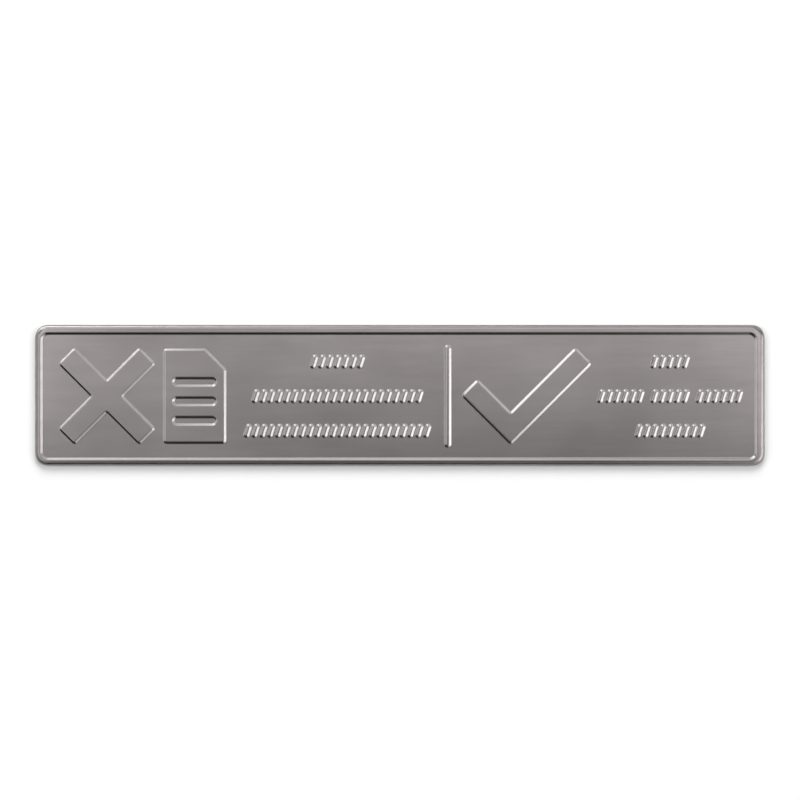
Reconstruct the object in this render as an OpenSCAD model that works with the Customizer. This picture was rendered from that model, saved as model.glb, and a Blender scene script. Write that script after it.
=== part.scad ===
// Letterbox sign: a pressed sheet-metal face plate on a foam adhesive pad.
// It lies on its back. +X runs along the sign, +Y up it, and +Z out of its face.
// The origin is the middle of its outline, on the surface that the pad sticks to.

/* [Sheet] */
// Thickness of the sheet
sheet_t = 0.2; // [0.12:0.01:0.25]
// Height of the border and of every raised form above the panel
relief_h = 0.3; // [0.22:0.01:0.4]
// Width of the sloping wall of every pressed form, seen from above
wall_run = 0.38; // [0.25:0.01:0.45]

/* [Border] */
// Width of the border, from the plate's edge to the top of the panel's wall
border_w = 1.05; // [0.9:0.05:2]
// Radius of the roll along the plate's edge
roll_r = 0.95; // [0.8:0.01:1]
// Angle that the roll turns through before the edge drops straight down
roll_angle = 63.5; // [50:0.5:64]
// Radius of the plate's corners
corner_r = 2; // [1.5:0.1:4]
// Radius of the panel's corners, at the foot of its wall
panel_corner_r = 0.9; // [0.3:0.1:2]
// How far the panel is pressed off the plate's middle, to the left
press_left = 0.2; // [0:0.02:0.2]
// How far the panel is pressed off the plate's middle, downwards
press_down = 0.14; // [0:0.02:0.2]

/* [Marks] */
// Height of the cross, the leaflet and the tick
mark_h = 15.7; // [13:0.1:20]
// Width of the arms of the cross and the tick
arm_w = 3.9; // [2.5:0.1:5]
// Length of the tick's short arm
tick_short = 11.6; // [8:0.1:14]
// Radius of the marks' corners, at the top of their walls
mark_corner_r = 0.2; // [0.16:0.02:0.6]

/* [Leaflet] */
// Width of the leaflet
leaflet_w = 10.4; // [8:0.1:14]
// Size of the leaflet's cut corner
leaflet_cut = 3.4; // [2:0.1:4.5]
// Number of lines pressed back into the leaflet
line_count = 3; // [1:1:4]
// Width of a line, at the top of its walls
line_w = 1.6; // [1.5:0.05:2.2]
// Distance from line to line
line_pitch = 3.2; // [2.8:0.1:3.6]
// Distance from the leaflet's sides to its lines, at the top of the walls
line_inset = 1.5; // [1:0.1:2.5]

/* [Divider] */
// Width of the upright divider
divider_w = 1.2; // [1.1:0.05:2]
// How far the divider reaches past the marks, at each end
divider_past = 0.6; // [0:0.05:0.8]

/* [Ribs] */
// Height of a row of ribs
rib_h = 2.3; // [1.8:0.05:3]
// Width of a rib's flat top
rib_top_w = 0.26; // [0.2:0.02:0.5]
// Angle at which the ribs lean
rib_lean = 18; // [0:1:25]
// Space between the feet of neighbouring ribs
rib_gap = 0.2; // [0.18:0.02:0.6]
// Distance from row to row
row_pitch = 5.7; // [4:0.1:6.5]
// Space between one run of ribs and the next
run_gap = 0.9; // [0.6:0.1:3]

/* [Spacing] */
// Space from the panel's wall to the cross
left_margin = 2.7; // [1:0.1:10]
// Space from the cross to the leaflet
leaflet_gap = 1.4; // [1:0.1:5]
// Space from the leaflet to the left group of ribs
left_group_gap = 2.8; // [1:0.1:6]
// Space from the left group of ribs to the divider
divider_gap = 2.1; // [1:0.1:6]
// Space from the divider to the tick
tick_gap = 1.8; // [1:0.1:5]
// Space from the tick to the right group of ribs
right_group_gap = 1; // [0.5:0.1:6]
// Space from the right group of ribs to the panel's wall
right_margin = 1.9; // [1:0.1:10]
// Space from the marks to the panel's wall, above and below
end_margin = 2.27; // [1.2:0.01:8]

/* [Adhesive] */
// Thickness of the foam adhesive pad
pad_t = 0.6; // [0.4:0.05:1.5]
// How far the pad's back stands proud of the plate's edge
pad_proud = 0.1; // [0.05:0.01:0.2]
// Space from the pad's side to the foot of the panel's wall
pad_margin = 0.5; // [0.3:0.1:3]

/* [Hidden] */
$fn = 48;

// Rows of a group from the top down, each with the number of ribs in each of its runs
left_group = [[7], [22], [24]];
right_group = [[5], [6, 5, 6], [9]];

// Levels of the panel's face and of the top of the border and the raised forms
panel_z = pad_t + sheet_t;
crest_z = panel_z + relief_h;
// A sheet's back follows its face one thickness away, so seen from above the foot and the top of
// each sloping wall move across by this much from the face to the back.
back_shift = sheet_t * tan(atan(relief_h / wall_run) / 2);
// How far a pressed form is carried into or past the sheet, on the same slope
root = 0.1;
root_run = root * wall_run / relief_h;

// An arm lies at 45 degrees, and its rounded corners reach the mark's height. At that angle a
// rounded corner falls this far short of a square one.
mark_foot_r = mark_corner_r + wall_run;
corner_loss = mark_foot_r * (sqrt(2) - 1);
arm_l = (mark_h + 2 * corner_loss) * sqrt(2) - arm_w;
tick_w = (arm_l + tick_short) / sqrt(2) - 2 * corner_loss;
divider_l = mark_h + 2 * divider_past;

// A rib is as wide as its flat top and its two walls. It stands on the line between the centres of
// its round ends, which leans over by lean_run.
rib_w = rib_top_w + 2 * wall_run;
rib_pitch = (rib_w + rib_gap) / cos(rib_lean);
lean_run = (rib_h - rib_w) * tan(rib_lean);
rib_ends = [for (end = [-0.5, 0.5]) end * [lean_run, rib_h - rib_w]];

function run_length(ribs) = (ribs - 1) * rib_pitch + lean_run + rib_w;
// Length of a row's first runs, with the gap after each
function row_reach(row, count) =
    count > 0 ? run_length(row[count - 1]) + run_gap + row_reach(row, count - 1) : 0;
function row_length(row) = row_reach(row, len(row)) - run_gap;
function group_width(group) = max([for (row = group) row_length(row)]);

// Places along the panel, from the foot of its left wall
leaflet_x = left_margin + mark_h + leaflet_gap;
left_group_x = leaflet_x + leaflet_w + left_group_gap;
divider_x = left_group_x + group_width(left_group) + divider_gap;
tick_x = divider_x + divider_w + tick_gap;
right_group_x = tick_x + tick_w + right_group_gap;
panel_l = right_group_x + group_width(right_group) + right_margin;
panel_w = mark_h + 2 * end_margin;

plate_l = panel_l + 2 * (wall_run + border_w);
plate_w = panel_w + 2 * (wall_run + border_w);

// Centres of a rectangle's corners of radius r, counter-clockwise
function corners(l, w, r) =
    [for (side = [[-1, -1], [1, -1], [1, 1], [-1, 1]]) [side.x * (l / 2 - r), side.y * (w / 2 - r)]];

// Carries a section round a convex outline, given by the centres of its rounded corners.
// The section lies to the right of its own Y axis, which stands on the centres. Each side is a bar
// with the section on both its flanks, so that sides, corners and what fills the middle overlap.
// Each corner is turned to its side, which puts the revolve's seam inside the form.
module carried_round(centres) {
    n = len(centres);
    for (i = [0 : n - 1]) {
        way = centres[(i + 1) % n] - centres[i];
        translate(centres[i]) rotate(atan2(way.y, way.x)) {
            rotate_extrude() children();
            if (n > 2 || i == 0)
                rotate([90, 0, 90]) linear_extrude(norm(way)) {
                    children();
                    mirror([1, 0]) children();
                }
        }
    }
}

// A convex form whose walls lean out by run over its height. r is its corners' radius at the foot.
module leaning(centres, r, run, h) {
    if (len(centres) > 2) linear_extrude(h) polygon(centres);
    carried_round(centres) polygon([[0, 0], [r, 0], [r + run, h], [0, h]]);
}

// A form pressed up out of the panel, and the hollow that it leaves behind the sheet
module raised(centres, r) {
    translate([0, 0, panel_z - root])
        leaning(centres, r + root_run, -root_run - wall_run, root + relief_h);
}
module raised_back(centres, r) {
    translate([0, 0, -sheet_t]) raised(centres, r - back_shift);
}

// A form pressed down to the panel's level, and its back, which fills the hollow behind it
module sunk(centres, r) {
    translate([0, 0, panel_z]) leaning(centres, r, wall_run + root_run, relief_h + root);
}
module sunk_back(centres, r) {
    translate([0, 0, -sheet_t]) sunk(centres, r + back_shift);
}

// A raised form's face, or its back
module form(centres, r, back) {
    if (back) raised_back(centres, r);
    else raised(centres, r);
}

// From the foot of the panel's left wall, half way up the sign
module on_panel(x) {
    translate([x - panel_l / 2 - press_left, -press_down, 0]) children();
}

module arm(l, back) {
    form(corners(l, arm_w, mark_foot_r), mark_foot_r, back);
}

module cross(back) {
    for (angle = [45, 135]) rotate(angle) arm(arm_l, back);
}

// The tick's outer corner, before it is rounded, is at the origin.
module tick(back) {
    rotate(45) translate([arm_l, arm_w] / 2) arm(arm_l, back);
    rotate(135) translate([tick_short, -arm_w] / 2) arm(tick_short, back);
}

leaflet_centres =
    let (x = leaflet_w / 2 - mark_foot_r,
         y = mark_h / 2 - mark_foot_r,
         cut = leaflet_cut - mark_foot_r * (2 - sqrt(2)))
    [[-x, -y], [x, -y], [x, y - cut], [x - cut, y], [-x, y]];

line_foot_r = line_w / 2 - wall_run;
line_reach = leaflet_w / 2 - line_inset - line_w / 2;

module leaflet_lines() {
    for (i = [0 : line_count - 1])
        translate([0, (i - (line_count - 1) / 2) * line_pitch - leaflet_cut / 4]) children();
}

module leaflet_face() {
    difference() {
        raised(leaflet_centres, mark_foot_r);
        leaflet_lines() sunk([[-line_reach, 0], [line_reach, 0]], line_foot_r);
    }
}

module leaflet_back() {
    difference() {
        raised_back(leaflet_centres, mark_foot_r);
        leaflet_lines() sunk_back([[-line_reach, 0], [line_reach, 0]], line_foot_r);
    }
}

// One row of ribs, from its left end
module rib_row(row, back) {
    for (run = [0 : len(row) - 1], rib = [0 : row[run] - 1])
        translate([row_reach(row, run) + run_length(1) / 2 + rib * rib_pitch, 0])
            form(rib_ends, rib_w / 2, back);
}

// A group of rows, each centred on the group's width
module rib_group(group, back) {
    width = group_width(group);
    for (i = [0 : len(group) - 1])
        translate([(width - row_length(group[i])) / 2, ((len(group) - 1) / 2 - i) * row_pitch])
            rib_row(group[i], back);
}

module marks(back) {
    on_panel(left_margin + mark_h / 2) cross(back);
    on_panel(leaflet_x + leaflet_w / 2)
        if (back) leaflet_back();
        else leaflet_face();
    on_panel(left_group_x) rib_group(left_group, back);
    on_panel(divider_x + divider_w / 2)
        form([[0, divider_w - divider_l] / 2, [0, divider_l - divider_w] / 2], divider_w / 2, back);
    on_panel(tick_x + tick_short / sqrt(2) - corner_loss)
        translate([0, -mark_h / 2 - corner_loss]) tick(back);
    on_panel(right_group_x) rib_group(right_group, back);
}

// The plate's outside before the panel is pressed, or its inside one thickness in. Its edge rolls
// over and then drops straight down.
module blank(t) {
    r = corner_r - t;
    h = crest_z - t;
    low = pad_proud - (t > 0 ? root : 0);
    roll_x = corner_r - roll_r * sin(roll_angle);
    roll_z = crest_z - roll_r;
    centres = corners(plate_l, plate_w, corner_r);
    translate([0, 0, low]) linear_extrude(h - low) polygon(centres);
    carried_round(centres) {
        translate([0, low]) square([roll_x, h - low]);
        intersection() {
            translate([roll_x, roll_z]) circle(roll_r - t);
            translate([0, low]) square([r, h - low]);
        }
        if (roll_z > low) translate([0, low]) square([r, roll_z - low]);
    }
}

module panel(back) {
    centres = corners(panel_l, panel_w, panel_corner_r);
    on_panel(panel_l / 2)
        if (back) sunk_back(centres, panel_corner_r);
        else sunk(centres, panel_corner_r);
}

module face_plate() {
    color([0.6, 0.58, 0.57])
        difference() {
            union() {
                difference() {
                    blank(0);
                    panel(back = false);
                }
                marks(back = false);
            }
            difference() {
                blank(sheet_t);
                panel(back = true);
            }
            marks(back = true);
        }
}

// A die-cut pad of foam that fills the recess behind the panel
module adhesive_pad() {
    r = panel_corner_r;
    color([0.92, 0.92, 0.9])
        on_panel(panel_l / 2)
            linear_extrude(pad_t) {
                square([panel_l - 2 * (pad_margin + r), panel_w - 2 * pad_margin], center = true);
                square([panel_l - 2 * pad_margin, panel_w - 2 * (pad_margin + r)], center = true);
                for (centre = corners(panel_l - 2 * pad_margin, panel_w - 2 * pad_margin, r))
                    translate(centre) circle(r);
            }
}

face_plate();
adhesive_pad();
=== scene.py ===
import logging
import math
from collections.abc import Iterable, Sequence
from dataclasses import dataclass, field
from enum import Enum

import bmesh
import bpy
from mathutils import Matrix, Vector
from mathutils.geometry import delaunay_2d_cdt


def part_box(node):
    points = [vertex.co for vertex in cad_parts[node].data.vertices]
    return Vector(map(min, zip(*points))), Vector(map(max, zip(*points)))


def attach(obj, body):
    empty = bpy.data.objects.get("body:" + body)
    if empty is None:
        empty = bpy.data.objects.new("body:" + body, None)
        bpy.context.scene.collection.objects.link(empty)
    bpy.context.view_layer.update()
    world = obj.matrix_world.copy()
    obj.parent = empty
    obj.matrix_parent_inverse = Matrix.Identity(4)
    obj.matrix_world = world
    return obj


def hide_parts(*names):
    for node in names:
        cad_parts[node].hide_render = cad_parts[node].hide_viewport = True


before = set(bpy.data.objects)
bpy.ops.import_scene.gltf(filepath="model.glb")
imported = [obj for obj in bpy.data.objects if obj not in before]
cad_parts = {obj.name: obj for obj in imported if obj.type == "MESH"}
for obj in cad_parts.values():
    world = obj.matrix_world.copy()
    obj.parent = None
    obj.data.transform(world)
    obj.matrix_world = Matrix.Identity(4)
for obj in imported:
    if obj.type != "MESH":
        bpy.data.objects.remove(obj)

log = logging.getLogger("letterbox_sign")

MM = 0.001
QUARTER = math.pi / 2

# Fewest straight steps in the arc of a corner
FEWEST_STEPS = 3

# A flat is first filled out to its hull, and points nearer than the snap, in millimetres, are one
FILL_TO_HULL = 0
FILL_SNAP = 1e-7

Point = tuple[float, float]
Size = tuple[float, float]
Ends = tuple[float, float]
Place = tuple[float, float, float]
Colour = tuple[float, float, float]
Box = tuple[Vector, Vector]
Rows = tuple[tuple[int, ...], ...]
Ring = list[bmesh.types.BMVert]
Node = bpy.types.Node
Socket = bpy.types.NodeSocket
Tree = bpy.types.NodeTree


class Face(Enum):
    """The two faces of the pressed sheet."""

    FRONT = "front"
    BACK = "back"


class Press(Enum):
    """Which way a form is pressed out of its surroundings."""

    RAISED = 1
    SUNK = -1


# Outlines, in millimetres


@dataclass(frozen=True)
class Corner:
    """One rounded corner of an outline that runs counter-clockwise."""

    x: float
    y: float
    start: float
    sweep: float
    radius: float

    def points(self, inset: float, steps_per_turn: int) -> list[Point]:
        """Gives the corner's arc on the outline moved inwards.

        Args:
            inset: How far the outline is moved inwards, or outwards if it is negative.
            steps_per_turn: Number of straight steps that a full circle would take.

        Returns:
            The arc's points, both ends included.
        """
        convex = self.sweep > 0
        radius = self.radius - inset if convex else self.radius + inset
        steps = max(FEWEST_STEPS, round(steps_per_turn * abs(self.sweep) / math.tau))
        angles = [self.start + self.sweep * i / steps for i in range(steps + 1)]
        return [(self.x + radius * math.cos(a), self.y + radius * math.sin(a)) for a in angles]


@dataclass(frozen=True)
class Outline:
    """A closed outline with rounded corners, which can be moved inwards or outwards."""

    corners: tuple[Corner, ...]
    steps_per_turn: int = 32

    @classmethod
    def rounded(cls, points: Sequence[Point], outer: float, inner: float = 0.15) -> "Outline":
        """Rounds the corners of a polygon.

        Args:
            points: The polygon's points, counter-clockwise.
            outer: Radius of the corners that point outwards.
            inner: Radius of the corners that point inwards.

        Returns:
            The outline.
        """
        corners = []
        count = len(points)
        for i, point in enumerate(points):
            here = Vector(point)
            before = (here - Vector(points[i - 1])).normalized()
            after = (Vector(points[(i + 1) % count]) - here).normalized()
            left_before = Vector((-before.y, before.x))
            left_after = Vector((-after.y, after.x))
            sweep = math.atan2(before.x * after.y - before.y * after.x, before.dot(after))
            reach = (left_before + left_after) / (1 + left_before.dot(left_after))
            if sweep > 0:
                centre, spoke, radius = here + outer * reach, -left_before, outer
            else:
                centre, spoke, radius = here - inner * reach, left_before, inner
            corners.append(Corner(centre.x, centre.y, math.atan2(spoke.y, spoke.x), sweep, radius))
        return cls(tuple(corners))

    @classmethod
    def box(cls, length: float, height: float, radius: float) -> "Outline":
        """Gives a rectangle about the origin with rounded corners."""
        x, y = length / 2, height / 2
        return cls.rounded([(-x, -y), (x, -y), (x, y), (-x, y)], radius)

    @classmethod
    def bar(cls, length: float, height: float) -> "Outline":
        """Gives a bar about the origin with round ends on its shorter sides.

        Args:
            length: The bar's size along X.
            height: Its size along Y.

        Returns:
            The outline.
        """
        reach, radius = abs(length - height) / 2, min(length, height) / 2
        if length > height:
            ends = (Corner(reach, 0, -QUARTER, math.pi, radius), Corner(-reach, 0, QUARTER, math.pi, radius))
        else:
            ends = (Corner(0, reach, 0, math.pi, radius), Corner(0, -reach, math.pi, math.pi, radius))
        return cls(ends)

    def moved(self, x: float, y: float, turn: float = 0.0) -> "Outline":
        """Turns the outline about the origin, and then moves it.

        Args:
            x: How far it moves along X.
            y: How far it moves along Y.
            turn: The angle that it turns first, in radians.

        Returns:
            The new outline.
        """
        c, s = math.cos(turn), math.sin(turn)
        corners = (
            Corner(x + k.x * c - k.y * s, y + k.x * s + k.y * c, k.start + turn, k.sweep, k.radius)
            for k in self.corners
        )
        return Outline(tuple(corners), self.steps_per_turn)

    def loop(self, inset: float) -> list[Point]:
        """Gives the points of the outline moved inwards by an inset."""
        return [p for corner in self.corners for p in corner.points(inset, self.steps_per_turn)]


@dataclass(frozen=True)
class Form:
    """A pressed form: its outline at the foot of its wall, and what is pressed back inside it."""

    outline: Outline
    press: Press = Press.RAISED
    inside: tuple["Form", ...] = ()

    def loop(self, reach: float) -> list[Point]:
        """Gives the form's outline at a distance up its wall, seen from above."""
        return self.outline.loop(self.press.value * reach)


# Sections across the sheet, in millimetres


@dataclass(frozen=True)
class Station:
    """A point of a section: its reach across the wall, its level and its slope in radians."""

    reach: float
    level: float
    lean: float

    def on(self, face: Face, thickness: float) -> Point:
        """Places the station on one face of the sheet.

        Args:
            face: Which face.
            thickness: The sheet's thickness.

        Returns:
            The reach and the level there.
        """
        if face is Face.FRONT:
            return self.reach, self.level
        return self.reach + thickness * math.sin(self.lean), self.level - thickness * math.cos(self.lean)


@dataclass(frozen=True)
class SheetSection:
    """The sheet's thickness and bends, from which its walls and its edge get their sections."""

    thickness: float = 0.2
    relief: float = 0.3
    wall_run: float = 0.38
    foot_bend: float = 0.16
    crest_bend: float = 0.26
    flat_margin: float = 0.03
    bend_steps: int = 4
    roll: float = 0.95
    roll_angle: float = math.radians(63.5)
    roll_end: float = math.radians(11)
    roll_steps: int = 14
    burr: float = 0.05

    @property
    def slope(self) -> float:
        """Angle of a sloping wall."""
        return math.atan2(self.relief, self.wall_run)

    @property
    def roll_width(self) -> float:
        """Width of the rolled edge, seen from above."""
        return self.roll * math.sin(self.roll_angle)

    def wall(self, panel: float) -> list[Station]:
        """Gives the section of a sloping wall, from the low flat to the high flat.

        Args:
            panel: Level of the low flat.

        Returns:
            Stations along the front face. The first and the last are on the flats.
        """
        half = math.tan(self.slope / 2)
        foot, crest = self.foot_bend * half, self.crest_bend * half
        stations = [Station(-foot - self.flat_margin, panel, 0)]
        for i in range(self.bend_steps + 1):
            angle = self.slope * i / self.bend_steps
            reach = -foot + self.foot_bend * math.sin(angle)
            stations.append(Station(reach, panel + self.foot_bend * (1 - math.cos(angle)), angle))
        for i in range(self.bend_steps, -1, -1):
            angle = self.slope * i / self.bend_steps
            reach = self.wall_run + crest - self.crest_bend * math.sin(angle)
            level = panel + self.relief - self.crest_bend * (1 - math.cos(angle))
            stations.append(Station(reach, level, angle))
        stations.append(Station(self.wall_run + crest + self.flat_margin, panel + self.relief, 0))
        return stations

    def edge(self, low: float, crest: float) -> list[Station]:
        """Gives the section of the rolled edge, from its lowest point up and in to the crest.

        Args:
            low: Level of the edge's lowest point.
            crest: Level of the crest's flat.

        Returns:
            Stations along the front face. Their reach is measured inwards from the plate's edge.
        """
        skirt_top = crest - self.roll * (1 - math.cos(self.roll_angle)) - self.flat_margin
        stations = [Station(0, level, QUARTER) for level in (low + self.burr, skirt_top)]
        for i in range(self.roll_steps + 1):
            angle = self.roll_angle + (self.roll_end - self.roll_angle) * i / self.roll_steps
            level = crest - self.roll * (1 - math.cos(angle))
            stations.append(Station(self.roll_width - self.roll * math.sin(angle), level, angle))
        return stations


# Meshes


class SheetMesh:
    """Collects the faces of a piece as rings and flat fills, in millimetres, and makes its mesh."""

    def __init__(self) -> None:
        """Starts an empty mesh."""
        self.bm = bmesh.new()

    def ring(self, points: Iterable[Point], level: float) -> Ring:
        """Adds a closed ring of vertices at one level and returns them."""
        return [self.bm.verts.new((x * MM, y * MM, level * MM)) for x, y in points]

    def bridge(self, outer: Ring, inner: Ring, up: bool) -> None:
        """Joins two rings of equal length by a strip of four-sided faces.

        Args:
            outer: The ring that lies outside, seen from above.
            inner: The ring that lies inside.
            up: Whether the strip looks up.
        """
        count = len(outer)
        for i in range(count):
            j = (i + 1) % count
            corners = (outer[i], outer[j], inner[j], inner[i])
            self.bm.faces.new(corners if up else corners[::-1])

    def stack(self, rings: list[Ring], inwards: bool, up: bool) -> None:
        """Joins a list of rings, each to the next.

        Args:
            rings: The rings in order.
            inwards: Whether each lies inside the last, seen from above, and not outside it.
            up: Whether the strips look up.
        """
        for pair in zip(rings, rings[1:]):
            outer, inner = pair if inwards else pair[::-1]
            self.bridge(outer, inner, up)

    def fill(self, outer: Ring, holes: list[Ring], up: bool) -> None:
        """Fills the flat between an outer ring and any number of holes with triangles.

        Args:
            outer: The ring round the flat.
            holes: Rings within it that stay open.
            up: Whether the flat looks up.
        """
        rings = [outer, *holes]
        verts = [v for ring in rings for v in ring]
        owner = [i for i, ring in enumerate(rings) for _ in ring]
        edges = []
        start = 0
        for ring in rings:
            count = len(ring)
            edges += [(start + i, start + (i + 1) % count) for i in range(count)]
            start += count
        flat = [Vector((v.co.x / MM, v.co.y / MM)) for v in verts]
        places, _, triangles, sources, _, _ = delaunay_2d_cdt(flat, edges, [], FILL_TO_HULL, FILL_SNAP)
        shapes = [[(v.co.x / MM, v.co.y / MM) for v in ring] for ring in rings]
        for triangle in triangles:
            ids = [sources[i][0] for i in triangle]
            owners = {owner[i] for i in ids}
            # Corners that are all on one ring may span a place outside the flat or a hole in it
            if len(owners) == 1:
                ring = owners.pop()
                middle = sum((places[i] for i in triangle), Vector((0, 0))) / len(triangle)
                if inside(middle, shapes[ring]) != (ring == 0):
                    continue
            a, b, c = (verts[i] for i in ids)
            turn = (b.co - a.co).cross(c.co - a.co).z
            self.bm.faces.new((a, b, c) if (turn > 0) == up else (a, c, b))

    def finish(self, name: str) -> bpy.types.Object:
        """Makes the object.

        Args:
            name: The piece's name.

        Returns:
            The new object, in metres, linked to the scene and shaded smooth.
        """
        mesh = bpy.data.meshes.new(name)
        self.bm.to_mesh(mesh)
        self.bm.free()
        mesh.shade_smooth()
        piece = bpy.data.objects.new(name, mesh)
        bpy.context.scene.collection.objects.link(piece)
        return piece


def inside(point: Vector, shape: Sequence[Point]) -> bool:
    """Tells whether a point is inside a closed outline, by counting the sides that it looks across.

    Args:
        point: The point.
        shape: The outline's points.

    Returns:
        Whether it is inside.
    """
    within = False
    for (ax, ay), (bx, by) in zip(shape, [*shape[1:], shape[0]]):
        if (ay > point.y) != (by > point.y) and point.x < ax + (bx - ax) * (point.y - ay) / (by - ay):
            within = not within
    return within


# Shader building

# Places of the colour sockets in a Mix node
MIX_A, MIX_B, MIX_RESULT = 6, 7, 2


class Board:
    """A node tree that is being wired, with short ways to add and join its nodes."""

    def __init__(self, tree: Tree) -> None:
        """Starts on a tree."""
        self.tree = tree

    def add(self, kind: str, **settings: object) -> Node:
        """Adds a node.

        Args:
            kind: The node's type.
            settings: Its properties.

        Returns:
            The node.
        """
        node = self.tree.nodes.new(kind)
        for name, value in settings.items():
            setattr(node, name, value)
        return node

    def join(self, source: Socket, target: Socket) -> None:
        """Links one socket to another."""
        self.tree.links.new(source, target)

    def feed(self, node: Node, values: Iterable[object]) -> None:
        """Feeds a node's first inputs in order.

        Args:
            node: The node.
            values: What each input gets: a link, where it is a socket, or else a plain value.
        """
        for target, value in zip(node.inputs, values):
            self.give(target, value)

    def give(self, target: Socket, value: object) -> None:
        """Gives one input a link or a plain value.

        Args:
            target: The input.
            value: A socket to link, or a plain value.
        """
        if isinstance(value, Socket):
            self.join(value, target)
        else:
            target.default_value = value

    def math(self, operation: str, *values: object, clamp: bool = False) -> Socket:
        """Adds a Math node.

        Args:
            operation: What it works out.
            values: Its inputs.
            clamp: Whether the result is kept between 0 and 1.

        Returns:
            Its result.
        """
        node = self.add("ShaderNodeMath", operation=operation, use_clamp=clamp)
        self.feed(node, values)
        return node.outputs[0]

    def mapped(self, value: object, *ends: object) -> Socket:
        """Adds a clamped Map Range node with a smooth step.

        Args:
            value: What is mapped.
            ends: Its low and high end, and then what they turn into, which is 0 and 1 if left out.

        Returns:
            Its result.
        """
        node = self.add("ShaderNodeMapRange", interpolation_type="SMOOTHSTEP")
        self.feed(node, (value, *ends))
        return node.outputs[0]

    def blend(self, factor: object, a: object, b: object, mode: str = "MIX") -> Socket:
        """Adds a colour Mix node.

        Args:
            factor: Share of the second colour.
            a: The first colour.
            b: The second colour.
            mode: How they are blended.

        Returns:
            Its result.
        """
        node = self.add("ShaderNodeMix", data_type="RGBA", blend_type=mode)
        self.give(node.inputs["Factor"], factor)
        self.give(node.inputs[MIX_A], a)
        self.give(node.inputs[MIX_B], b)
        return node.outputs[MIX_RESULT]

    def noise(self, place: Socket, scale: Socket, detail: float, roughness: float) -> Socket:
        """Adds a Noise Texture node.

        Args:
            place: Where the noise is read.
            scale: How fine it is.
            detail: How many finer layers it has.
            roughness: How strong they are.

        Returns:
            Its value.
        """
        node = self.add("ShaderNodeTexNoise", noise_dimensions="3D")
        self.join(place, node.inputs["Vector"])
        self.join(scale, node.inputs["Scale"])
        node.inputs["Detail"].default_value = detail
        node.inputs["Roughness"].default_value = roughness
        return node.outputs["Fac"]

    def group(self, tree: Tree, **values: object) -> bpy.types.NodeOutputs:
        """Places a node group.

        Args:
            tree: The group.
            values: Its inputs, whose names have _ for a space.

        Returns:
            Its outputs.
        """
        node = self.add("ShaderNodeGroup", node_tree=tree)
        for name, value in values.items():
            self.give(node.inputs[name.replace("_", " ")], value)
        return node.outputs

    def coordinate(self, kind: str = "Object") -> Socket:
        """Reads a texture coordinate."""
        return self.add("ShaderNodeTexCoord").outputs[kind]

    def axes(self, source: Socket) -> bpy.types.NodeOutputs:
        """Splits a place, a way or a colour into its X, Y and Z.

        Args:
            source: What is split.

        Returns:
            The three outputs.
        """
        node = self.add("ShaderNodeSeparateXYZ")
        self.join(source, node.inputs[0])
        return node.outputs

    def shaded(self, colour: Socket, shade: Socket) -> Socket:
        """Multiplies a colour by one value.

        Args:
            colour: The colour.
            shade: The value.

        Returns:
            The lighter or darker colour.
        """
        grey = self.add("ShaderNodeCombineColor")
        self.feed(grey, (shade, shade, shade))
        return self.blend(1.0, colour, grey.outputs[0], "MULTIPLY")

    def bump(self, height: Socket, strength: float, reach: float, sunk: bool = False) -> Socket:
        """Adds a Bump node.

        Args:
            height: What stands out.
            strength: How strongly it shows.
            reach: How far a value of 1 stands out, in metres.
            sunk: Whether it is sunk in instead.

        Returns:
            The bumped normal.
        """
        node = self.add("ShaderNodeBump", invert=sunk)
        node.inputs["Strength"].default_value = strength
        node.inputs["Distance"].default_value = reach
        self.join(height, node.inputs["Height"])
        return node.outputs["Normal"]


@dataclass(frozen=True)
class GroupPlan:
    """The name and the sockets of a shader node group."""

    name: str
    inputs: tuple[tuple[str, str, object], ...]
    outputs: tuple[tuple[str, str], ...]

    def start(self) -> tuple[Board, Node, Node]:
        """Makes the empty group.

        Returns:
            Its board, its input node and its output node.
        """
        tree = bpy.data.node_groups.new(self.name, "ShaderNodeTree")
        for label, kind, value in self.inputs:
            socket = tree.interface.new_socket(name=label, in_out="INPUT", socket_type=kind)
            socket.default_value = value
        for label, kind in self.outputs:
            tree.interface.new_socket(name=label, in_out="OUTPUT", socket_type=kind)
        board = Board(tree)
        return board, board.add("NodeGroupInput"), board.add("NodeGroupOutput")


NUMBER, COLOUR = "NodeSocketFloat", "NodeSocketColor"


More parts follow.
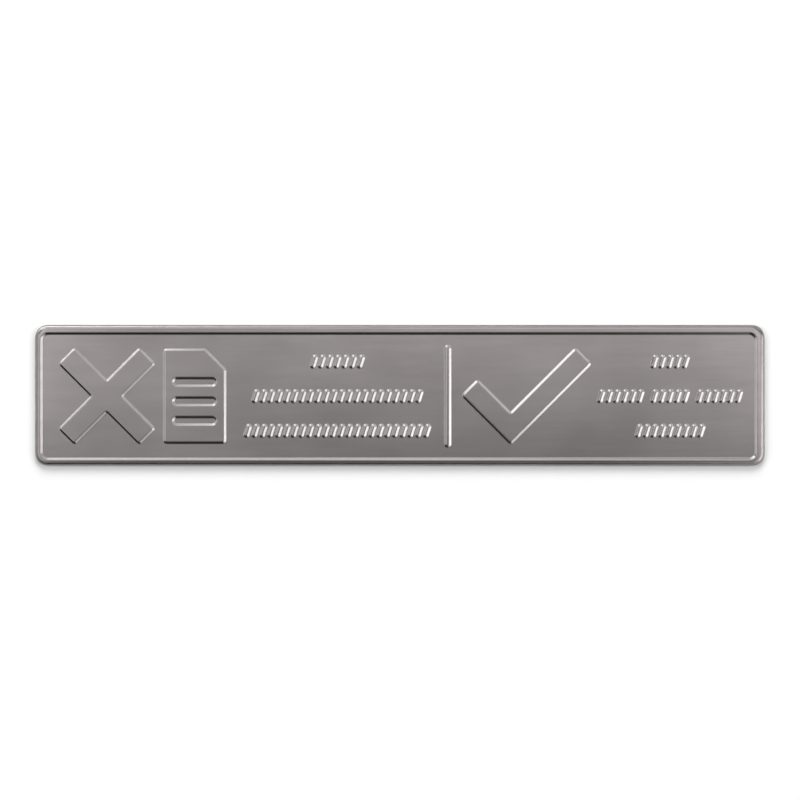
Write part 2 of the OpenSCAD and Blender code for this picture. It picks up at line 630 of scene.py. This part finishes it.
class Effects:
    """The shader node groups that the finishes share, each built once.

    The cloud ends are the levels of noise that turn fully dark and fully light. A speck is full within
    its core and fades out towards its edge, and both are shares of its cell.
    """

    CLOUD_ENDS = (0.3, 0.7)
    SPECK_CORE = 0.15
    SPECK_EDGE = 0.25

    def __init__(self) -> None:
        """Builds the groups."""
        self.grain = self._grain()
        self.clouds = self._clouds()
        self.specks = self._specks()
        self.walls = self._walls()
        self.edge = self._edge()

    @staticmethod
    def _grain() -> Tree:
        """Builds fine streaks along X, as rolling leaves them in sheet metal.

        Returns:
            The group.
        """
        plan = GroupPlan(
            "Rolled_Grain",
            (("Fineness", NUMBER, 9000.0), ("Stretch", NUMBER, 60.0)),
            (("Value", NUMBER),),
        )
        board, given, result = plan.start()
        place = board.axes(board.coordinate())
        drawn = board.add("ShaderNodeCombineXYZ")
        along = board.math("DIVIDE", place["X"], given.outputs["Stretch"])
        board.feed(drawn, (along, place["Y"], place["Z"]))
        streaks = board.noise(drawn.outputs[0], given.outputs["Fineness"], detail=3.0, roughness=0.6)
        board.join(streaks, result.inputs["Value"])
        return board.tree

    @staticmethod
    def _clouds() -> Tree:
        """Builds broad soft patches between two colours.

        Returns:
            The group.
        """
        plan = GroupPlan(
            "Soft_Clouds",
            (
                ("Patch Size", NUMBER, 0.02),
                ("Dark", COLOUR, (0.4, 0.4, 0.4, 1)),
                ("Light", COLOUR, (0.6, 0.6, 0.6, 1)),
            ),
            (("Color", COLOUR),),
        )
        board, given, result = plan.start()
        scale = board.math("DIVIDE", 1.0, given.outputs["Patch Size"])
        patches = board.noise(board.coordinate(), scale, detail=2.0, roughness=0.45)
        share = board.mapped(patches, *Effects.CLOUD_ENDS)
        colour = board.blend(share, given.outputs["Dark"], given.outputs["Light"])
        board.join(colour, result.inputs["Color"])
        return board.tree

    @staticmethod
    def _specks() -> Tree:
        """Builds small sparse specks and pits, such as dust or the cells of foam.

        Returns:
            The group.
        """
        plan = GroupPlan(
            "Specks",
            (("Speck Size", NUMBER, 0.0002), ("Share", NUMBER, 0.1), ("Softness", NUMBER, 0.1)),
            (("Mask", NUMBER),),
        )
        board, given, result = plan.start()
        cells = board.add("ShaderNodeTexVoronoi", feature="F1")
        board.join(board.coordinate(), cells.inputs["Vector"])
        board.join(board.math("DIVIDE", 1.0, given.outputs["Speck Size"]), cells.inputs["Scale"])
        chance = board.axes(cells.outputs["Color"])["X"]
        chosen = board.math("LESS_THAN", chance, given.outputs["Share"])
        edge = board.math("ADD", given.outputs["Softness"], Effects.SPECK_EDGE)
        spot = board.mapped(cells.outputs["Distance"], edge, Effects.SPECK_CORE)
        board.join(board.math("MULTIPLY", chosen, spot), result.inputs["Mask"])
        return board.tree

    @staticmethod
    def _walls() -> Tree:
        """Builds a mask of the sloping walls, from the way that the face looks.

        Returns:
            The group.
        """
        plan = GroupPlan(
            "Pressed_Walls",
            (("Flat", NUMBER, 0.995), ("Sloping", NUMBER, 0.88)),
            (("Mask", NUMBER),),
        )
        board, given, result = plan.start()
        upright = board.math("ABSOLUTE", board.axes(board.coordinate("Normal"))["Z"])
        mask = board.mapped(upright, given.outputs["Flat"], given.outputs["Sloping"])
        board.join(mask, result.inputs["Mask"])
        return board.tree

    @staticmethod
    def _edge() -> Tree:
        """Builds a mask of the band along the edge of a rectangle with round corners.

        Returns:
            The group.
        """
        plan = GroupPlan(
            "Rounded_Edge",
            (
                ("Half Length", NUMBER, 0.06),
                ("Half Height", NUMBER, 0.0115),
                ("Corner", NUMBER, 0.002),
                ("Band", NUMBER, 0.0002),
            ),
            (("Mask", NUMBER),),
        )
        board, given, result = plan.start()
        place = board.axes(board.coordinate())
        corner = given.outputs["Corner"]
        past = []
        for axis, half in (("X", "Half Length"), ("Y", "Half Height")):
            centre = board.math("SUBTRACT", given.outputs[half], corner)
            past.append(board.math("SUBTRACT", board.math("ABSOLUTE", place[axis]), centre))
        square = [board.math("POWER", board.math("MAXIMUM", p, 0.0), 2.0) for p in past]
        round_reach = board.math("SQRT", board.math("ADD", *square))
        straight_reach = board.math("MINIMUM", board.math("MAXIMUM", *past), 0.0)
        reach = board.math("ADD", round_reach, straight_reach)
        start = board.math("SUBTRACT", corner, given.outputs["Band"])
        board.join(board.mapped(reach, start, corner), result.inputs["Mask"])
        return board.tree


def blank_board(owner: bpy.types.ID) -> Board:
    """Clears the nodes of a material or of the world.

    Args:
        owner: The material or the world.

    Returns:
        A board on its empty tree.
    """
    owner.use_nodes = True
    owner.node_tree.nodes.clear()
    return Board(owner.node_tree)


def new_material(name: str) -> tuple[bpy.types.Material, Board, Node]:
    """Starts a material with a Principled BSDF.

    Args:
        name: The material's name.

    Returns:
        The material, its board and its Principled BSDF.
    """
    material = bpy.data.materials.new(name)
    board = blank_board(material)
    surface = board.add("ShaderNodeBsdfPrincipled")
    output = board.add("ShaderNodeOutputMaterial")
    board.join(surface.outputs["BSDF"], output.inputs["Surface"])
    return material, board, surface


def opaque(colour: Colour) -> tuple[float, float, float, float]:
    """Adds a full alpha to a colour."""
    return (*colour, 1.0)


@dataclass(frozen=True)
class PressedSteel:
    """Satin steel sheet, pressed: rolled grain, broad clouds, walls that the tool burnished, and a dull cut
    edge with a band along it painted dark as shade.

    A pair of numbers is a low and a high end. The painted shade band and the bump's reach are in millimetres.
    """

    light: Colour = (0.37, 0.341, 0.34)
    dark: Colour = (0.325, 0.297, 0.297)
    cloud_size: float = 0.016
    roughness: Ends = (0.235, 0.265)
    burnished: Colour = (0.66, 0.628, 0.626)
    burnished_roughness: float = 0.22
    painted_edge_shade: Colour = (0.075, 0.069, 0.068)
    painted_shade_band: float = 0.18
    edge_roughness: float = 0.5
    grain_fineness: float = 7000.0
    grain_stretch: float = 90.0
    grain_ends: Ends = (0.2, 0.8)
    grain_shade: Ends = (0.985, 1.015)
    grain_bump: float = 0.02
    grain_bump_reach: float = 0.02
    wave_fineness: float = 620.0
    wave_stretch: float = 9.0
    wave_ends: Ends = (0.25, 0.75)
    wave_shade: Ends = (0.96, 1.04)

    def make(self, effects: Effects, half: Size, corner: float, roll: float) -> bpy.types.Material:
        """Makes the material.

        Args:
            effects: The shared node groups.
            half: Half the plate's length and height, in metres.
            corner: Radius of the plate's corners, in metres.
            roll: Width of the rolled edge, in metres.

        Returns:
            The material.
        """
        material, board, surface = new_material("pressed_steel")
        grain = board.group(effects.grain, Fineness=self.grain_fineness, Stretch=self.grain_stretch)["Value"]
        waves = board.group(effects.grain, Fineness=self.wave_fineness, Stretch=self.wave_stretch)["Value"]
        tones = {"Dark": opaque(self.dark), "Light": opaque(self.light)}
        clouds = board.group(effects.clouds, Patch_Size=self.cloud_size, **tones)["Color"]
        plate = {"Half_Length": half[0], "Half_Height": half[1], "Corner": corner}
        rolled = board.group(effects.edge, Band=roll, **plate)["Mask"]
        edge_shade_mask = board.group(effects.edge, Band=self.painted_shade_band * MM, **plate)["Mask"]
        walls = board.group(effects.walls)["Mask"]
        burnish = board.math("MULTIPLY", walls, board.math("SUBTRACT", 1.0, rolled))
        colour = board.blend(burnish, clouds, opaque(self.burnished))
        # Painted shade: a band along the plate's edge is darkened, over a cut edge that is also dull and
        # rough
        colour = board.blend(edge_shade_mask, colour, opaque(self.painted_edge_shade))
        fine_shade = board.mapped(grain, *self.grain_ends, *self.grain_shade)
        broad_shade = board.mapped(waves, *self.wave_ends, *self.wave_shade)
        shade = board.math("MULTIPLY", fine_shade, broad_shade)
        board.join(board.shaded(colour, shade), surface.inputs["Base Color"])
        surface.inputs["Metallic"].default_value = 1.0
        rough = board.mapped(grain, *self.grain_ends, *self.roughness)
        rough = board.mapped(burnish, 0.0, 1.0, rough, self.burnished_roughness)
        rough = board.mapped(edge_shade_mask, 0.0, 1.0, rough, self.edge_roughness)
        board.join(rough, surface.inputs["Roughness"])
        board.join(board.bump(grain, self.grain_bump, self.grain_bump_reach * MM), surface.inputs["Normal"])
        return material


@dataclass(frozen=True)
class PadFoam:
    """Closed-cell foam with a film of clear adhesive. A cell is a small pit in it, painted darker as shade.
    """

    light: Colour = (0.82, 0.82, 0.79)
    dark: Colour = (0.74, 0.735, 0.7)
    cloud_size: float = 0.006
    roughness: float = 0.4
    cell_size: float = 0.00025
    cell_share: float = 0.75
    cell_softness: float = 0.35
    pit_painted_shade: float = 0.9
    cell_roughness: float = 0.65
    cell_bump: float = 0.5
    cell_bump_reach: float = 0.03

    def make(self, effects: Effects) -> bpy.types.Material:
        """Makes the material.

        Args:
            effects: The shared node groups.

        Returns:
            The material.
        """
        material, board, surface = new_material("pad_foam")
        tones = {"Dark": opaque(self.dark), "Light": opaque(self.light)}
        clouds = board.group(effects.clouds, Patch_Size=self.cloud_size, **tones)["Color"]
        pitting = {"Speck_Size": self.cell_size, "Share": self.cell_share, "Softness": self.cell_softness}
        cells = board.group(effects.specks, **pitting)["Mask"]
        # Painted shade: the pits are darkened in colour
        shade = board.mapped(cells, 0.0, 1.0, 1.0, self.pit_painted_shade)
        board.join(board.shaded(clouds, shade), surface.inputs["Base Color"])
        rough = board.mapped(cells, 0.0, 1.0, self.roughness, self.cell_roughness)
        board.join(rough, surface.inputs["Roughness"])
        pits = board.bump(cells, self.cell_bump, self.cell_bump_reach * MM, sunk=True)
        board.join(pits, surface.inputs["Normal"])
        return material


# The object's pieces, in millimetres


@dataclass
class FacePlate:
    """The pressed plate: a rolled edge, a border, a panel, and marks and ribs in relief."""

    box: Box
    section: SheetSection = field(default_factory=SheetSection)
    border: float = 1.05
    corner_radius: float = 2.0
    panel_corner_radius: float = 0.9
    press_left: float = 0.2
    press_down: float = 0.14
    mark_height: float = 15.7
    arm_width: float = 3.9
    tick_short: float = 11.6
    mark_crest_radius: float = 0.2
    leaflet_width: float = 10.4
    leaflet_cut: float = 3.4
    line_count: int = 3
    line_width: float = 1.6
    line_pitch: float = 3.2
    line_inset: float = 1.5
    line_drop: float = 0.85
    divider_width: float = 1.2
    divider_past: float = 0.6
    rib_height: float = 2.3
    rib_top_width: float = 0.26
    rib_lean: float = math.radians(18)
    rib_gap: float = 0.2
    run_gap: float = 0.9
    row_pitch: float = 5.7
    left_margin: float = 2.7
    leaflet_gap: float = 1.4
    left_group_gap: float = 2.8
    divider_gap: float = 2.1
    tick_gap: float = 1.8
    right_group_gap: float = 1.0
    left_group: Rows = ((7,), (22,), (24,))
    right_group: Rows = ((5,), (6, 5, 6), (9,))

    def __post_init__(self) -> None:
        """Works out the levels and the panel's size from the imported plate's box."""
        low, high = self.box
        self.length = (high.x - low.x) / MM
        self.height = (high.y - low.y) / MM
        self.low = low.z / MM
        self.crest = high.z / MM
        self.panel = self.crest - self.section.relief
        rim = self.border + self.section.wall_run
        self.panel_length = self.length - 2 * rim
        self.panel_height = self.height - 2 * rim
        self.foot_radius = self.mark_crest_radius + self.section.wall_run
        self.corner_loss = self.foot_radius * (math.sqrt(2) - 1)
        self.arm_length = (self.mark_height + 2 * self.corner_loss) * math.sqrt(2) - self.arm_width
        self.rib_width = self.rib_top_width + 2 * self.section.wall_run
        self.rib_pitch = (self.rib_width + self.rib_gap) / math.cos(self.rib_lean)
        self.rib_lean_run = (self.rib_height - self.rib_width) * math.tan(self.rib_lean)

    def from_left(self, x: float, y: float = 0.0) -> Point:
        """Turns a place on the panel, from the foot of its left wall, into one in the sign's frame."""
        return x - self.panel_length / 2 - self.press_left, y - self.press_down

    def cross(self) -> Outline:
        """Gives two crossed arms about the origin, upright until they are turned.

        Returns:
            The outline.
        """
        a, b = self.arm_length / 2, self.arm_width / 2
        points = []
        for c, s in ((1, 0), (0, 1), (-1, 0), (0, -1)):
            points += [(x * c - y * s, x * s + y * c) for x, y in ((a, -b), (a, b), (b, b))]
        return Outline.rounded(points, self.foot_radius)

    def tick(self) -> Outline:
        """Gives the tick's two arms, along X and Y from its outer corner at the origin.

        Returns:
            The outline.
        """
        long, short, width = self.arm_length, self.tick_short, self.arm_width
        points = [(0, 0), (long, 0), (long, width), (width, width), (width, short), (0, short)]
        return Outline.rounded(points, self.foot_radius)

    def leaflet(self) -> Outline:
        """Gives the leaflet about the origin, with its upper right corner cut."""
        x, y, cut = self.leaflet_width / 2, self.mark_height / 2, self.leaflet_cut
        return Outline.rounded([(-x, -y), (x, -y), (x, y - cut), (x - cut, y), (-x, y)], self.foot_radius)

    def leaflet_lines(self, x: float, y: float) -> list[Form]:
        """Gives the lines pressed back into the leaflet.

        Args:
            x: The leaflet's middle along X.
            y: The leaflet's middle along Y.

        Returns:
            One sunk form for each line.
        """
        foot = self.line_width - 2 * self.section.wall_run
        length = self.leaflet_width - 2 * self.line_inset - 2 * self.section.wall_run
        line = Outline.bar(length, foot)
        lowest = y - self.line_drop - (self.line_count - 1) / 2 * self.line_pitch
        levels = [lowest + i * self.line_pitch for i in range(self.line_count)]
        return [Form(line.moved(x, level), Press.SUNK) for level in levels]

    def run_length(self, count: int) -> float:
        """Gives the length of one run of ribs."""
        return (count - 1) * self.rib_pitch + self.rib_width + self.rib_lean_run

    def row_length(self, row: Sequence[int]) -> float:
        """Gives the length of one row of runs."""
        return sum(self.run_length(count) + self.run_gap for count in row) - self.run_gap

    def group_width(self, group: Sequence[Sequence[int]]) -> float:
        """Gives the width of a group of rows."""
        return max(self.row_length(row) for row in group)

    def ribs(self, group: Sequence[Sequence[int]], left: float) -> list[Form]:
        """Gives the ribs of a group of rows.

        Args:
            group: Rows from the top down, each with the number of ribs in each of its runs.
            left: The group's left end, from the foot of the panel's left wall.

        Returns:
            One raised form for each rib.
        """
        reach = (self.rib_height - self.rib_width) / math.cos(self.rib_lean)
        rib = Outline.bar(self.rib_width, self.rib_width + reach)
        forms = []
        for i, row in enumerate(group):
            x = left + (self.group_width(group) - self.row_length(row)) / 2 + self.run_length(1) / 2
            y = ((len(group) - 1) / 2 - i) * self.row_pitch
            for count in row:
                for k in range(count):
                    forms.append(Form(rib.moved(*self.from_left(x + k * self.rib_pitch, y), -self.rib_lean)))
                x += self.run_length(count) + self.run_gap
        return forms

    def raised_forms(self) -> list[Form]:
        """Gives all the forms that stand on the panel.

        Returns:
            The forms, from left to right.
        """
        x = self.left_margin
        cross = self.cross().moved(*self.from_left(x + self.mark_height / 2), math.pi / 4)
        x += self.mark_height + self.leaflet_gap
        middle = self.from_left(x + self.leaflet_width / 2)
        leaflet = Form(self.leaflet().moved(*middle), inside=tuple(self.leaflet_lines(*middle)))
        x += self.leaflet_width + self.left_group_gap
        left = self.ribs(self.left_group, x)
        x += self.group_width(self.left_group) + self.divider_gap
        upright = Outline.bar(self.divider_width, self.mark_height + 2 * self.divider_past)
        divider = upright.moved(*self.from_left(x + self.divider_width / 2))
        x += self.divider_width + self.tick_gap
        heel = x + self.tick_short / math.sqrt(2) - self.corner_loss
        tick = self.tick().moved(*self.from_left(heel, -self.mark_height / 2 - self.corner_loss), math.pi / 4)
        x += (self.arm_length + self.tick_short) / math.sqrt(2) - 2 * self.corner_loss + self.right_group_gap
        right = self.ribs(self.right_group, x)
        return [Form(cross), leaflet, *left, Form(divider), Form(tick), *right]

    def wall(self, mesh: SheetMesh, form: Form, face: Face) -> tuple[Ring, Ring]:
        """Adds one face of a form's sloping wall.

        Args:
            mesh: The mesh to add to.
            form: The form.
            face: Which face of the sheet.

        Returns:
            The ring on the low flat and the ring on the high flat.
        """
        rings = []
        for station in self.section.wall(self.panel):
            reach, level = station.on(face, self.section.thickness)
            rings.append(mesh.ring(form.loop(reach), level))
        mesh.stack(rings, inwards=form.press is Press.RAISED, up=face is Face.FRONT)
        return rings[0], rings[-1]

    def edge(self, mesh: SheetMesh, outline: Outline, face: Face) -> tuple[Ring, Ring]:
        """Adds one face of the rolled edge.

        Args:
            mesh: The mesh to add to.
            outline: The plate's outline.
            face: Which face of the sheet.

        Returns:
            Its lowest ring and its ring on the crest.
        """
        rings = []
        for station in self.section.edge(self.low, self.crest):
            reach, level = station.on(face, self.section.thickness)
            rings.append(mesh.ring(outline.loop(reach), level))
        mesh.stack(rings, inwards=True, up=face is Face.FRONT)
        return rings[0], rings[-1]

    def cut_edge(self, mesh: SheetMesh, outline: Outline, front: Ring, back: Ring) -> None:
        """Closes the sheet's cut edge, with both corners broken.

        Args:
            mesh: The mesh to add to.
            outline: The plate's outline.
            front: The front face's lowest ring.
            back: The back face's lowest ring.
        """
        burr = self.section.burr
        outer = mesh.ring(outline.loop(burr), self.low)
        inner = mesh.ring(outline.loop(self.section.thickness - burr), self.low)
        mesh.stack([front, outer, inner, back], inwards=True, up=False)

    def build(self) -> bpy.types.Object:
        """Builds the plate as one closed sheet, front and back.

        Returns:
            The piece.
        """
        mesh = SheetMesh()
        plate = Outline.box(self.length, self.height, self.corner_radius)
        pocket_outline = Outline.box(self.panel_length, self.panel_height, self.panel_corner_radius)
        pocket = Form(pocket_outline.moved(-self.press_left, -self.press_down), Press.SUNK)
        forms = self.raised_forms()
        lowest = {}
        for face in Face:
            up = face is Face.FRONT
            lowest[face], shoulder = self.edge(mesh, plate, face)
            panel_ring, border_ring = self.wall(mesh, pocket, face)
            mesh.fill(shoulder, [border_ring], up)
            feet = []
            for form in forms:
                foot, crest = self.wall(mesh, form, face)
                feet.append(foot)
                openings = []
                for line in form.inside:
                    floor, rim = self.wall(mesh, line, face)
                    mesh.fill(floor, [], up)
                    openings.append(rim)
                mesh.fill(crest, openings, up)
            mesh.fill(panel_ring, feet, up)
        self.cut_edge(mesh, plate, lowest[Face.FRONT], lowest[Face.BACK])
        return mesh.finish("pressed_face_plate")

    def dress(self, piece: bpy.types.Object, effects: Effects) -> None:
        """Gives the plate its finish.

        Args:
            piece: The plate.
            effects: The shared node groups.
        """
        half = (self.length / 2 * MM, self.height / 2 * MM)
        material = PressedSteel().make(effects, half, self.corner_radius * MM, self.section.roll_width * MM)
        piece.data.materials.append(material)


@dataclass
class AdhesivePad:
    """The die-cut foam pad that fills the recess behind the panel."""

    box: Box
    corner_radius: float = 0.9
    edge_radius: float = 0.06
    edge_steps: int = 3

    def build(self) -> bpy.types.Object:
        """Builds the pad as one closed slab with slightly rounded edges.

        Returns:
            The piece.
        """
        low, high = self.box
        size = (high - low) / MM
        middle = (low + high) / 2 / MM
        outline = Outline.box(size.x, size.y, self.corner_radius).moved(middle.x, middle.y)
        mesh = SheetMesh()
        rings = []
        for level, way in ((low.z / MM, 1), (high.z / MM, -1)):
            for i in range(self.edge_steps + 1)[::way]:
                angle = QUARTER * i / self.edge_steps
                inset = self.edge_radius * (1 - math.sin(angle))
                rise = way * self.edge_radius * (1 - math.cos(angle))
                rings.append(mesh.ring(outline.loop(inset), level + rise))
        mesh.stack(rings, inwards=True, up=True)
        mesh.fill(rings[0], [], up=False)
        mesh.fill(rings[-1], [], up=True)
        return mesh.finish("foam_adhesive_pad")

    def dress(self, piece: bpy.types.Object, effects: Effects) -> None:
        """Gives the pad its finish."""
        piece.data.materials.append(PadFoam().make(effects))


# The stage


class Serves(Enum):
    """What a lamp serves: matt surfaces or reflections."""

    MATT = "matt"
    SHINE = "shine"


@dataclass(frozen=True)
class Lamp:
    """A soft box: where it stands, what it points at, its size and how bright its front is."""

    name: str
    place: Place
    size: Size
    radiance: float
    serves: Serves
    aim: Place = (0.0, 0.0, 0.0)

    @classmethod
    def facing_down(cls, name: str, place: Place, size: Size, radiance: float) -> "Lamp":
        """Gives a lamp that serves reflections and faces straight down."""
        return cls(name, place, size, radiance, Serves.SHINE, (place[0], place[1], 0.0))

    def build(self) -> None:
        """Hangs the lamp in the scene, out of the camera's sight."""
        data = bpy.data.lights.new(self.name, "AREA")
        data.shape = "RECTANGLE"
        data.size, data.size_y = self.size
        data.energy = self.radiance * math.pi * self.size[0] * self.size[1]
        lamp = bpy.data.objects.new(self.name, data)
        lamp.location = self.place
        lamp.rotation_euler = (Vector(self.aim) - Vector(self.place)).to_track_quat("-Z", "Y").to_euler()
        lamp.visible_camera = False
        lamp.visible_diffuse = self.serves is Serves.MATT
        lamp.visible_glossy = self.serves is Serves.SHINE
        bpy.context.scene.collection.objects.link(lamp)


@dataclass(frozen=True)
class Studio:
    """The pale floor, the surroundings, the lamps and the camera, in metres.

    A glow, and a tone of the surroundings, is a strength, where 1 is white. A step is the two ends
    between which it changes softly: along the floor's Y, or along Y or Z of a way outwards.
    """

    floor_size: float = 3.0
    floor_colour: Colour = (0.85, 0.85, 0.85)
    floor_glow: float = 0.025
    near_glow: float = 0.13
    glow_step: Ends = (-0.08, 0.0)
    zenith: float = 0.3
    far_side: float = 0.24
    far_step: Ends = (-0.05, 0.6)
    near_low: float = 0.01
    near_high: float = 0.23
    near_step: Ends = (0.38, 0.62)
    side_step: Ends = (-0.45, -0.05)
    lamps: tuple[Lamp, ...] = (
        Lamp("key_top", (0.0, 0.553, 0.322), (0.51, 0.28), 9.8, Serves.MATT),
        Lamp("key_left", (-0.467, 0.037, 0.374), (0.375, 0.272), 4.9, Serves.MATT),
        Lamp("key_right", (0.467, 0.037, 0.374), (0.375, 0.272), 4.9, Serves.MATT),
        Lamp("right_box", (0.4, -0.12, 0.1), (0.42, 0.16), 1.6, Serves.SHINE),
        Lamp("right_high_box", (0.28, -0.1, 0.22), (0.22, 0.1), 0.9, Serves.SHINE),
        Lamp("left_box", (-0.42, 0.05, 0.1), (0.3, 0.06), 0.42, Serves.SHINE),
        Lamp("upper_high_box", (-0.02, 0.34, 0.24), (0.4, 0.08), 0.35, Serves.SHINE),
        Lamp("upper_left_box", (-0.19, 0.36, 0.12), (0.28, 0.2), 1.08, Serves.SHINE),
        Lamp("upper_left_low_box", (-0.19, 0.36, 0.025), (0.28, 0.04), 7.5, Serves.SHINE),
        Lamp("upper_left_high_box", (-0.24, 0.32, 0.26), (0.14, 0.14), 1.4, Serves.SHINE),
        Lamp("upper_middle_box", (-0.01, 0.36, 0.10), (0.08, 0.16), 0.45, Serves.SHINE),
        Lamp("upper_right_box", (0.08, 0.36, 0.2), (0.12, 0.12), 0.4, Serves.SHINE),
        Lamp("upper_right_low_box", (0.06, 0.36, 0.025), (0.22, 0.04), 1.4, Serves.SHINE),
        Lamp("far_right_box", (0.25, 0.27, 0.09), (0.2, 0.14), 0.62, Serves.SHINE),
        Lamp("left_corner_box", (-0.36, 0.25, 0.05), (0.14, 0.1), 2.2, Serves.SHINE),
        Lamp("lower_right_box", (0.16, -0.26, 0.07), (0.18, 0.12), 0.48, Serves.SHINE),
        Lamp("lower_right_high_box", (0.2, -0.24, 0.2), (0.26, 0.2), 0.3, Serves.SHINE),
        Lamp.facing_down("overhead_left_box", (-0.086, 0.102, 0.17), (0.068, 0.216), 0.78),
        Lamp.facing_down("overhead_middle_box", (-0.036, 0.09, 0.17), (0.032, 0.24), 0.47),
        Lamp.facing_down("overhead_right_box", (0.05, 0.1035, 0.17), (0.14, 0.213), 0.79),
        Lamp.facing_down("left_end_box", (-0.205, -0.03, 0.165), (0.25, 0.22), 0.66),
        Lamp.facing_down("right_end_box", (0.19, -0.03, 0.165), (0.22, 0.22), 0.66),
    )
    lens: float = 200.0
    sensor: float = 36.0
    picture: int = 800
    plate_pixels: float = 729.5
    plate_middle: Point = (399.9, 395.32)

    def floor(self) -> None:
        """Lays the floor, which is white to the camera and keeps the shadow."""
        half = self.floor_size / 2
        mesh = bpy.data.meshes.new("floor")
        corners = [(-half, -half, 0), (half, -half, 0), (half, half, 0), (-half, half, 0)]
        mesh.from_pydata(corners, [], [(0, 1, 2, 3)])
        floor = bpy.data.objects.new("floor", mesh)
        bpy.context.scene.collection.objects.link(floor)
        material = bpy.data.materials.new("floor_white")
        board = blank_board(material)
        matt = board.add("ShaderNodeBsdfDiffuse")
        matt.inputs["Color"].default_value = opaque(self.floor_colour)
        glow = board.add("ShaderNodeEmission")
        rays = board.add("ShaderNodeLightPath").outputs
        seen = board.math("MAXIMUM", rays["Is Camera Ray"], rays["Is Glossy Ray"])
        seen = board.math("MAXIMUM", seen, rays["Is Transmission Ray"])
        across = board.axes(board.coordinate())["Y"]
        strength = board.mapped(across, *self.glow_step, self.near_glow, self.floor_glow)
        board.join(board.math("MULTIPLY", seen, strength), glow.inputs["Strength"])
        both = board.add("ShaderNodeAddShader")
        board.feed(both, (matt.outputs[0], glow.outputs[0]))
        output = board.add("ShaderNodeOutputMaterial")
        board.join(both.outputs[0], output.inputs["Surface"])
        mesh.materials.append(material)

    def surroundings(self) -> None:
        """Sets the world: grey above and past the sign's upper side, nearly black low on its lower side."""
        world = bpy.data.worlds.new("studio")
        bpy.context.scene.world = world
        board = blank_board(world)
        way = board.axes(board.coordinate("Generated"))
        upper = board.mapped(way["Y"], *self.far_step, self.zenith, self.far_side)
        near = board.mapped(way["Z"], *self.near_step, self.near_low, self.near_high)
        level = board.mapped(way["Y"], *self.side_step, near, upper)
        light = board.add("ShaderNodeBackground")
        board.join(level, light.inputs["Strength"])
        output = board.add("ShaderNodeOutputWorld")
        board.join(light.outputs[0], output.inputs["Surface"])

    def camera(self, plate: FacePlate) -> None:
        """Sets the camera straight above the sign, with the photograph's framing.

        Args:
            plate: The plate that it looks at.
        """
        data = bpy.data.cameras.new("camera")
        data.lens = self.lens
        data.sensor_width = self.sensor
        pixel = plate.length * MM / self.plate_pixels
        middle = self.picture / 2
        x = (middle - self.plate_middle[0]) * pixel
        y = (self.plate_middle[1] - middle) * pixel
        camera = bpy.data.objects.new("camera", data)
        camera.location = (x, y, plate.crest * MM + self.picture * pixel * self.lens / self.sensor)
        bpy.context.scene.collection.objects.link(camera)
        bpy.context.scene.camera = camera

    def build(self, plate: FacePlate) -> None:
        """Builds the whole stage.

        Args:
            plate: The plate that it shows.
        """
        self.camera(plate)
        self.surroundings()
        self.floor()
        for lamp in self.lamps:
            lamp.build()
        bpy.context.scene.view_settings.view_transform = "Standard"


def place_piece(piece: bpy.types.Object, node: str) -> None:
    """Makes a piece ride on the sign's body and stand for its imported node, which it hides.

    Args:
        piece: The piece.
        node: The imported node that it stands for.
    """
    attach(piece, "root")
    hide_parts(node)
    log.info("%s stands for %s: %d faces", piece.name, node, len(piece.data.polygons))


def main() -> None:
    """Builds the pieces and the stage."""
    logging.basicConfig(level=logging.INFO, format="%(name)s: %(message)s")
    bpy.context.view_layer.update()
    effects = Effects()
    plate = FacePlate(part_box("face_plate"))
    sheet = plate.build()
    plate.dress(sheet, effects)
    place_piece(sheet, "face_plate")
    pad = AdhesivePad(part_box("adhesive_pad"))
    foam = pad.build()
    pad.dress(foam, effects)
    place_piece(foam, "adhesive_pad")
    Studio().build(plate)


if __name__ == "__main__":
    main()
